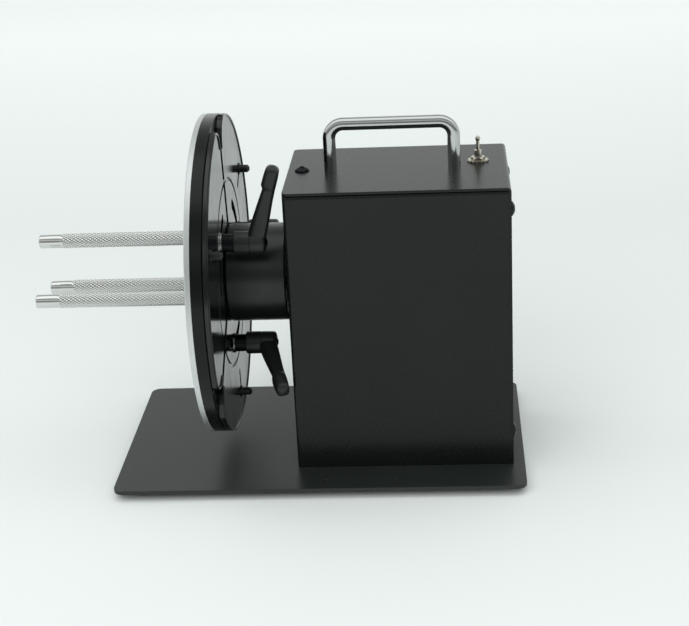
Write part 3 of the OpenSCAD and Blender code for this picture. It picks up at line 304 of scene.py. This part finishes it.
# the face tone is a painted dark reflection of the case wall
washerSteel = paintedReflectionMetal("zinc_plated_steel_painted_dark_reflection", "#b4b7b6", "#1c1e1e", 0.25)
groundSteel = drawnMetal("ground_steel", "#b9bbbb", 0.25, shaftLines, 0.5)
blackOxide = drawnMetal("black_oxide_steel", "#26282a", 0.36, evenLines, 0.8)
leverBlack = moulded("glass_filled_nylon_moulded", "#1a1c1c", 0.36, 0.7, 0.1)
footRubber = moulded("rubber_moulded", "#121212", 0.75, 1.2, 0.5)
spiderRed = moulded("polyurethane_cast", "#6d1d18", 0.45, 1.5, 0.2)
boardGreen = moulded("glass_epoxy_solder_mask", "#153a22", 0.35, 2.0, 0.1)
boardParts = moulded("moulded_component_cases", "#2c2e33", 0.5, 1.0, 0.2)
leadBlack = moulded("pvc_extruded_jacket", "#151515", 0.55, 1.5, 0.2)
motorBlack = powderCoat("painted_steel_can", "#17181a", "#1d1e20", 0.4, 0.2)
castAlloy = drawnMetal("die_cast_alloy", "#8f9292", 0.4, evenLines, 1.0)

finish = {
    "base_plate": baseCoat, "rubber_feet": footRubber, "chassis": caseCoat, "cover": caseCoat,
    "cover_screws": blackOxide, "housing_screws": blackOxide, "nose_screw": blackOxide,
    "hub_set_screws": blackOxide, "carry_handle": handleBright, "switch_body": nickel,
    "switch_washer": nickel, "switch_nut": nickel, "switch_bat": nickel, "bearing_housing": hubBlack,
    "hub": hubBlack, "bearing_outer_rings": groundSteel, "bearing_inner_rings": groundSteel,
    "motor_bracket": caseCoat, "gearbox": castAlloy, "gearbox_shaft": groundSteel, "motor": motorBlack,
    "control_board": boardGreen, "board_components": boardParts, "power_inlet": leverBlack,
    "wiring": leadBlack, "spindle_shaft": groundSteel, "coupling_jaws": castAlloy,
    "coupling_spider": spiderRed, "scroll_disc": discBlack, "face_plate": faceBright,
    "guide_plate": guideBlack, "finger_posts": leverBlack,
}
for n in (1, 2, 3):
    finish.update({
        f"core_pin_{n}": pinBright, f"pin_shoe_{n}": groundSteel, f"clamp_stud_{n}": blackOxide,
        f"lever_{n}": leverBlack, f"lever_screw_{n}": blackOxide, f"clamp_washer_{n}": washerSteel,
    })


def dress(obj, material):
    for slot in obj.material_slots:
        slot.material = material
    if not obj.material_slots:
        obj.data.materials.append(material)


# what isn't listed is a plain zinc plated fastener or pillar
for name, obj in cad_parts.items():
    dress(obj, finish.get(name, zinc))
print("finishes on the solids")


# surface tools

def around(angles):
    # points of the unit circle
    return np.stack([np.cos(angles), np.sin(angles)], axis=-1)


def fullTurn(columns):
    return np.linspace(0, 2 * np.pi, columns, endpoint=False)


def squarish(columns, power):
    # outline between circle (power 1) and square (power 0): both waves raised to the power, signs kept
    waves = around(fullTurn(columns))
    return np.sign(waves) * np.abs(waves) ** power


def turned(points, angle):
    # points of a plane turned about its origin
    return points @ np.array([[np.cos(angle), np.sin(angle)], [-np.sin(angle), np.cos(angle)]])


def saw(phase):
    # up from 0 to 1 and back down over each whole step of the phase
    return 1 - np.abs(2 * np.mod(phase, 1) - 1)


def revolve(radius, along, origin, axis, side):
    # circle of the given radius at each distance along the axis; radius may also vary round the circle
    radius = np.asarray(radius, float)
    turn = fullTurn(radius.shape[1])
    ring = np.cos(turn)[:, None] * side + np.sin(turn)[:, None] * np.cross(axis, side)
    return origin + radius[:, :, None] * ring + np.asarray(along)[:, None, None] * axis


def evenly(profile, columns):
    # profile of (radius, distance) pairs spread to the same radius all round
    profile = np.asarray(profile, float)
    return np.repeat(profile[:, :1], columns, axis=1), profile[:, 1]


def sweep(path, shape, up):
    # closed outline (points across, points up) carried along a path, square to its direction
    ahead = np.gradient(path, axis=0)
    ahead /= np.linalg.norm(ahead, axis=1)[:, None]
    across = np.cross(ahead, up)
    across /= np.linalg.norm(across, axis=1)[:, None]
    high = np.cross(across, ahead)
    return path[:, None] - shape[..., :1] * across[:, None] + shape[..., 1:] * high[:, None]


def piece(name, grids, material, body, stands, crease, crest=None):
    # grids of points (rows, columns, xyz), each wrapped round its columns and capped at both ends
    points, faces, first = [], [], 0
    for grid in grids:
        rows, columns = grid.shape[:2]
        r, c = np.meshgrid(np.arange(rows - 1), np.arange(columns), indexing="ij")
        here, beside = r * columns + c, r * columns + (c + 1) % columns
        quads = np.stack([here, beside, beside + columns, here + columns], axis=-1)
        faces += (quads.reshape(-1, 4) + first).tolist()
        faces.append((np.arange(columns)[::-1] + first).tolist())
        faces.append((np.arange(columns) + first + (rows - 1) * columns).tolist())
        points.append(grid.reshape(-1, 3))
        first += rows * columns
    mesh = bpy.data.meshes.new(name)
    mesh.from_pydata(np.concatenate(points).tolist(), [], faces)
    mesh.polygons.foreach_set("use_smooth", np.ones(len(mesh.polygons), bool))
    mesh.set_sharp_from_angle(angle=math.radians(crease))
    mesh.materials.append(material)
    if crest is not None:
        values = np.ravel(crest).astype(np.float32)
        mesh.attributes.new("crest", "FLOAT", "POINT").data.foreach_set("value", values)
    obj = bpy.data.objects.new(name, mesh)
    scene.collection.objects.link(obj)
    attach(obj, body)
    if stands:
        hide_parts(stands)


def middle(node):
    low, high = (np.array(corner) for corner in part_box(node))
    return (low + high) / 2


# knurled core pins

pins = {
    "knurled": 6.0, "tip": 5.5, "stem": 4.0,  # radii, mm
    "tipLength": 18.0, "cone": 1.2, "depth": 0.55, "start": 0.1, "stemBevel": 0.4,  # mm
    "runOut": (0.1, 0.3),  # mm below the grooves, and on from the last row
    # tip: mm inwards from its radius, and on from its root or back from its end
    "ring": ((0.0, 0.0), (0.12, 0.2), (0.12, 0.5), (0.0, 0.7)),
    "nose": ((0.0, 1.0), (0.3, 0.3), (1.0, 0.0)),
    "starts": (17, 20), "axialPitch": (3.66, 3.13),  # the two crossing helices, pitch in mm
    "columns": 150, "rowPitch": 0.45,
    # plain: how much of the painted valley shade the unrolled stem and tip take
    "plain": 0.3,  # how bright the unrolled metal is beside a crest
    "crease": 60,
}


def knurledPin(n, p):
    # radius = rod radius less a diamond of grooves, the lower of two crossing saw waves
    node, columns = f"core_pin_{n}", p["columns"]
    low, high = (np.array(corner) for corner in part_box(node))
    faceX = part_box("face_plate")[0].x
    centre = middle(node)
    axis, side = np.array([-1.0, 0, 0]), np.array([0, 0, 1.0])
    origin = np.array([faceX, centre[1], centre[2]])
    length, stemEnd = (faceX - low[0]) / mm, (faceX - high[0]) / mm
    tipStart = length - p["tipLength"]
    rows = int((tipStart - p["cone"]) / p["rowPitch"]) + 1
    along = p["start"] + np.arange(rows) * p["rowPitch"]
    turn = np.arange(columns)[None] / columns
    (left, right), (leftPitch, rightPitch) = p["starts"], p["axialPitch"]
    diamond = np.minimum(saw(turn * left - along[:, None] / leftPitch),
                         saw(turn * right + along[:, None] / rightPitch))
    root = p["knurled"] - p["depth"]
    knurl = p["knurled"] - p["depth"] * (1 - diamond)
    knurl[0] = root
    stem, bevel, (below, past) = p["stem"], p["stemBevel"], p["runOut"]
    stemRadius, stemAlong = evenly(
        [(stem - bevel, stemEnd), (stem, stemEnd + bevel), (stem, p["start"])], columns)
    tipRadius, tipAlong = evenly(
        [(root - below, along[-1] + past)]
        + [(p["tip"] - inwards, tipStart + on) for inwards, on in p["ring"]]
        + [(p["tip"] - inwards, length - back) for inwards, back in p["nose"]], columns)
    radius = np.concatenate([stemRadius, knurl, tipRadius])
    distance = np.concatenate([stemAlong, along, tipAlong])
    grid = revolve(radius * mm, distance * mm, origin, axis, side)
    # the crest values drive the painted valley shade in the pin's material
    plain = [np.full_like(part, p["plain"]) for part in (stemRadius, tipRadius)]
    crest = np.concatenate([plain[0], diamond, plain[1]])
    piece(f"knurledPin{n}", [grid], pinBright, f"pin_{n}", node, p["crease"], crest)


for n in (1, 2, 3):
    knurledPin(n, pins)
print("core pins knurled")


# clamping levers

levers = {
    "bossRadius": 9.0, "well": 5.0, "bore": 6.2, "boreDepth": 3.0, "bossHeight": 24.5, "web": 15.0,  # mm
    "bevel": 0.6, "wellBevel": 0.3,
    "groove": 12.6, "grooveMouth": 0.5, "grooveFloor": 0.25, "grooveDepth": 0.4,  # height, half widths, depth
    "dome": ((0.3, 2.2), (0.8, 1.0), (2.0, 0.2), (3.0, 0.0)),  # mm inwards from the side, down from the top
    "reach": 61.0, "root": 16.25,  # mm
    "lean": 16.3, "directions": (90.0, 198.0, 330.0),  # degrees
    # along the arm: width across, and thickness to the disc side and to the outer side of its middle line
    "stations": (0.0, 0.3, 0.55, 0.7, 0.73, 0.86, 0.95, 1.0),
    "width": (14.0, 10.6, 9.0, 9.4, 12.4, 12.6, 12.0, 11.0),
    "inner": (7.4, 6.4, 5.0, 4.1, 5.9, 5.7, 5.1, 4.6),
    "outer": (7.6, 6.8, 5.8, 5.5, 5.6, 5.6, 5.2, 4.8),
    "tipStart": 0.93, "tipPower": 2.4, "tipFlat": 0.03,  # where and how the arm's end closes
    "square": 3.6, "rows": 72, "blur": 3, "bossColumns": 72, "armColumns": 44, "crease": 40,
}


def leverBoss(v, origin, axis, ahead):
    # turned about the stud, from its bore up the outside, over a dome and down into the spring well
    b, h, g, edge, lead = v["bossRadius"], v["bossHeight"], v["groove"], v["bevel"], v["wellBevel"]
    mouth, floor, neck = v["grooveMouth"], v["grooveFloor"], b - v["grooveDepth"]
    profile = [(v["bore"], v["boreDepth"]), (v["bore"], 0.0), (b - edge, 0.0), (b, edge),
               (b, g - mouth), (neck, g - floor), (neck, g + floor), (b, g + mouth)]
    profile += [(b - inwards, h - down) for inwards, down in v["dome"]]
    profile += [(v["well"] + lead, h), (v["well"], h - lead), (v["well"], v["web"])]
    radius, along = evenly(profile, v["bossColumns"])
    return revolve(radius * mm, along * mm, origin, axis, ahead)


def leverArm(v, origin, axis, ahead):
    # rounded square section along a leaning line, swelling to a grip and closing at its tip
    step = np.linspace(0, 1, v["rows"])
    reach = step * v["reach"]
    rise = v["root"] + reach * math.tan(math.radians(v["lean"]))
    path = origin + reach[:, None] * mm * ahead + rise[:, None] * mm * axis
    closing = np.clip((step - v["tipStart"]) / (1 - v["tipStart"]), 0, 1)
    close = np.sqrt(np.clip(1 - closing ** v["tipPower"], v["tipFlat"], 1))

    def profile(key):
        # stations joined by straight lines, with their corners blurred over a few rows
        line = np.pad(np.interp(step, v["stations"], v[key]), v["blur"] // 2, mode="edge")
        return np.convolve(line, np.ones(v["blur"]) / v["blur"], mode="valid") * close

    width, inner, outer = (profile(key)[:, None] for key in ("width", "inner", "outer"))
    across, up = squarish(v["armColumns"], 2 / v["square"]).T
    shape = np.stack([across * width / 2, up * np.where(up > 0, outer, inner)], axis=-1)
    return sweep(path, shape * mm, axis)


def leverHandle(n, v):
    screw = middle(f"lever_screw_{n}")
    origin = np.array([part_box(f"lever_{n}")[0].x, screw[1], screw[2]])
    angle = math.radians(v["directions"][n - 1])
    axis, ahead = np.array([1.0, 0, 0]), np.array([0, math.cos(angle), math.sin(angle)])
    grids = [leverBoss(v, origin, axis, ahead), leverArm(v, origin, axis, ahead)]
    piece(f"leverHandle{n}", grids, leverBlack, f"handle_{n}", f"lever_{n}", v["crease"])


for n in (1, 2, 3):
    leverHandle(n, levers)
print("levers moulded")


# raised edge of the guide plate

lip = {
    "rim": 127.0, "corner": 20.0, "slotHalf": 4.25, "pinRadius": 29.0,  # mm, as in the plate
    "pinAngle": 82.0, "slotLean": 15.0,  # degrees, as in the plate
    "petals": 3, "inset": 0.95, "width": 1.5, "height": 0.85, "sunk": 0.2,  # mm
    "cornerPoints": 14, "rimPoints": 48, "columns": 16, "power": 0.5, "crease": 40,
}


def mouthCorner(v, s):
    # corner at one side of a slot's mouth: an arc from the slot that meets the rim, in the plate's frame
    lean, pin = math.radians(v["slotLean"]), np.array([v["pinRadius"], 0.0])
    hub = -turned(pin[None], -lean)[0]
    across = s * (v["slotHalf"] + v["corner"])
    out = math.sqrt((v["rim"] - v["corner"]) ** 2 - (across - hub[1]) ** 2)
    centre = np.array([hub[0] + out, across])
    last = math.atan2(centre[1] - hub[1], centre[0] - hub[0])
    arc = np.linspace(-s * np.pi / 2, last, v["cornerPoints"])
    bend = centre + (v["corner"] - v["inset"]) * around(arc)
    return turned(turned(bend, lean) + pin, math.radians(v["pinAngle"]))


def guideLip(v):
    # rounded strip carried along each petal: round one mouth's corner, along the rim, round the next corner
    share = 2 * np.pi / v["petals"]
    out, back = mouthCorner(v, 1), turned(mouthCorner(v, -1)[::-1], share)
    ends = np.unwrap([math.atan2(out[-1][1], out[-1][0]), math.atan2(back[0][1], back[0][0])])
    rim = (v["rim"] - v["inset"]) * around(np.linspace(*ends, v["rimPoints"])[1:-1])
    flat = np.concatenate([out, rim, back])
    halves = np.array([v["width"], v["height"] + v["sunk"]]) / 2
    shape = np.repeat((squarish(v["columns"], v["power"]) * halves)[None], len(flat), axis=0)
    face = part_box("guide_plate")[1].x / mm + (v["height"] - v["sunk"]) / 2
    grids = []
    for n in range(v["petals"]):
        petal = turned(flat, share * n)
        path = np.stack([np.full(len(petal), face), petal[:, 0], petal[:, 1] + axisHeight / mm], axis=-1)
        grids.append(sweep(path * mm, shape * mm, np.array([1.0, 0, 0])))
    piece("guideLip", grids, guideBlack, "guide", None, v["crease"])


guideLip(lip)
print("guide plate edged")


# carrying handle

grip = {"bar": 5.0, "bend": 11.0, "straight": 1.0, "bendPoints": 17, "columns": 48, "crease": 50}  # mm


def carryHandle(g):
    # circle carried up one leg, round two bends and down the other leg
    low, high = (np.array(corner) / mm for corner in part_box("carry_handle"))
    left, right = low[0] + g["bar"], high[0] - g["bar"]
    foot, top, bend, on = low[2], high[2] - g["bar"], g["bend"], g["straight"]
    y = (low[1] + high[1]) / 2
    arc = np.radians(np.linspace(0, 90, g["bendPoints"]))
    turnIn = np.stack([left + bend - bend * np.cos(arc), top - bend + bend * np.sin(arc)], axis=-1)
    turnOut = np.stack([right - bend + bend * np.sin(arc), top - bend + bend * np.cos(arc)], axis=-1)
    line = np.concatenate([
        [(left, foot), (left, foot + on), (left, top - bend - on)], turnIn, [((left + right) / 2, top)],
        turnOut, [(right, top - bend - on), (right, foot + on), (right, foot)]])
    path = np.stack([line[:, 0], np.full(len(line), y), line[:, 1]], axis=-1) * mm
    circle = around(fullTurn(g["columns"]))[None] * g["bar"] * mm
    grid = sweep(path, np.repeat(circle, len(path), axis=0), np.array([0, 1.0, 0]))
    piece("carryHandleBar", [grid], handleBright, "case", "carry_handle", g["crease"])


carryHandle(grip)
print("handle bent")


# stage and light

stage = {
    # the far floor tone is painted light: the paper is paler towards the back
    "size": 40.0, "floor": "#e0e4e3", "farFloorPaintedLight": "#f9fdfc", "farStarts": (0.6, 1.7),  # metres
    "rough": 0.95, "shine": 0.1, "paper": "#f4f8f7",
    # angle from the back over the top to the camera side, in degrees, and the level of the room there
    "studio": ((0, 1.05), (18, 1.0), (28, 0.9), (38, 0.5), (64, 0.55), (74, 1.5), (108, 1.5),
               (118, 0.4), (138, 0.4), (141, 0.9), (150, 0.7), (158, 0.3), (180, 0.25)),
    # watts, then metres: size, place and what the lamp is aimed at
    "lamps": {
        "top": (3.0, (2.2, 1.8), (-0.2, 0.1, 1.9), (0, 0, 0.1)),
        "back": (1.0, (2.6, 1.0), (0.0, 1.9, 1.1), (0, 0, 0.15)),
        "front": (34.0, (3.2, 1.6), (-0.2, -1.9, 1.6), (0, 0, 0.1)),
    },
}


def makeFloor(s):
    half = s["size"] / 2
    corners = [(-half, -half, 0), (half, -half, 0), (half, half, 0), (-half, half, 0)]
    mesh = bpy.data.meshes.new("floor")
    mesh.from_pydata(corners, [], [(0, 1, 2, 3)])
    floor = bpy.data.objects.new("floor", mesh)
    scene.collection.objects.link(floor)
    # matt paper painted paler towards the back: painted light where more light falls on the backdrop
    paper, tree, shader, place = start("matt_background_paper")
    back = ramp(tree, add(tree, "ShaderNodeSeparateXYZ", {0: place}).outputs["Y"], 0.0, 1.0, *s["farStarts"])
    feed(tree, shader, {
        "Base Color": blend(tree, back, s["floor"], s["farFloorPaintedLight"]),
        "Roughness": s["rough"], "Specular IOR Level": s["shine"],
    })
    mesh.materials.append(paper)


def makeStudio(s):
    # a room of soft boxes, the same for the camera and for what mirrors it
    world = bpy.data.worlds.new("studio")
    world.use_nodes = True
    world.cycles.sampling_method = "NONE"
    tree = world.node_tree
    ray = add(tree, "ShaderNodeTexCoord").outputs["Generated"]
    way = add(tree, "ShaderNodeSeparateXYZ", {0: ray}).outputs
    above = maths(tree, "ABSOLUTE", maths(tree, "ARCTAN2", way["Z"], way["Y"]))
    boxes = add(tree, "ShaderNodeValToRGB", {0: maths(tree, "DIVIDE", above, math.pi)})
    stops = boxes.color_ramp.elements
    for degrees, level in s["studio"][1:-1]:
        stops.new(degrees / 180)
    for stop, (degrees, level) in zip(stops, s["studio"]):
        stop.position = degrees / 180
        stop.color = (level, level, level, 1)
    feed(tree, tree.nodes["Background"], {"Color": srgb(s["paper"]), "Strength": boxes.outputs[0]})
    scene.world = world


def makeLamp(name, power, size, place, target):
    data = bpy.data.lights.new(name, "AREA")
    data.energy = power
    data.shape = "RECTANGLE"
    data.size, data.size_y = size
    lamp = bpy.data.objects.new(name, data)
    lamp.location = place
    lamp.rotation_euler = (Vector(target) - Vector(place)).to_track_quat("-Z", "Y").to_euler()
    lamp.visible_glossy = False
    scene.collection.objects.link(lamp)


makeFloor(stage)
makeStudio(stage)
for name, lamp in stage["lamps"].items():
    makeLamp(name, *lamp)
print("stage lit")
